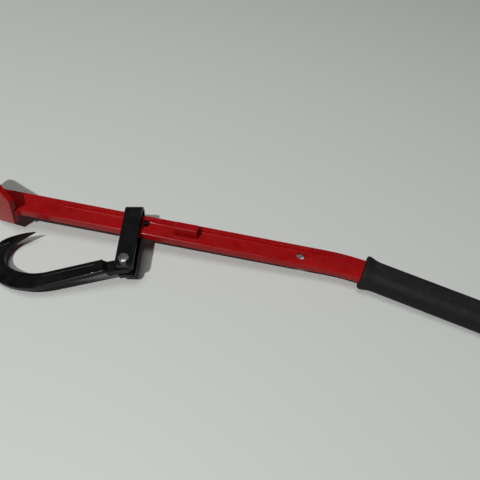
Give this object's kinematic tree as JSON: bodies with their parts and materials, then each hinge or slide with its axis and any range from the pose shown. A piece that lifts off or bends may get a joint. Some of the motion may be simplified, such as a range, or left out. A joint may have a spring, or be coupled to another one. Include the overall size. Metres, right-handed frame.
{
  "type": "felling lever",
  "caption": "Steel lever with a set plate for a felling cut, a sliding strap with a swinging turning hook, and a rubber grip on a bent handle.",
  "frame": {"origin": "centre of the hang hole in the bar, in the middle of its web", "axes": "+X along the bar towards the grip, +Y across the bar away from the hook, +Z out of the wide face that carries the stop lug"},
  "size_m": [0.7903, 0.1531, 0.0947],
  "materials": {
    "red_paint": "gloss red paint over forged steel",
    "black_coating": "satin black coating on steel",
    "black_forging": "semi-gloss black on a forging, slightly uneven",
    "zinc_steel": "bright zinc plating",
    "black_rubber": "matt moulded rubber"
  },
  "bodies": {
    "lever": {"lever_bar": "red_paint", "felling_tongue": "red_paint", "tongue_weld": "red_paint", "stop_lug": "red_paint", "lug_weld": "red_paint", "stop_pin": "black_coating", "grip_sleeve": "black_rubber"},
    "strap": {"hook_strap": "black_coating", "hook_bolt": "zinc_steel", "lock_nut": "zinc_steel"},
    "hook": {"cant_hook": "black_forging"}
  },
  "joints": [
    {"name": "strap_slide", "type": "slide", "parent": "lever", "child": "strap", "axis": [1, 0, 0], "range_m": [-0.13, 0.0008]},
    {"name": "hook_swing", "type": "hinge", "parent": "strap", "child": "hook", "pos_m": [-0.2257, -0.0684, -0.00265], "axis": [-0.0783, -0.0613, 0.995], "range_deg": [-2, 100]}
  ]
}
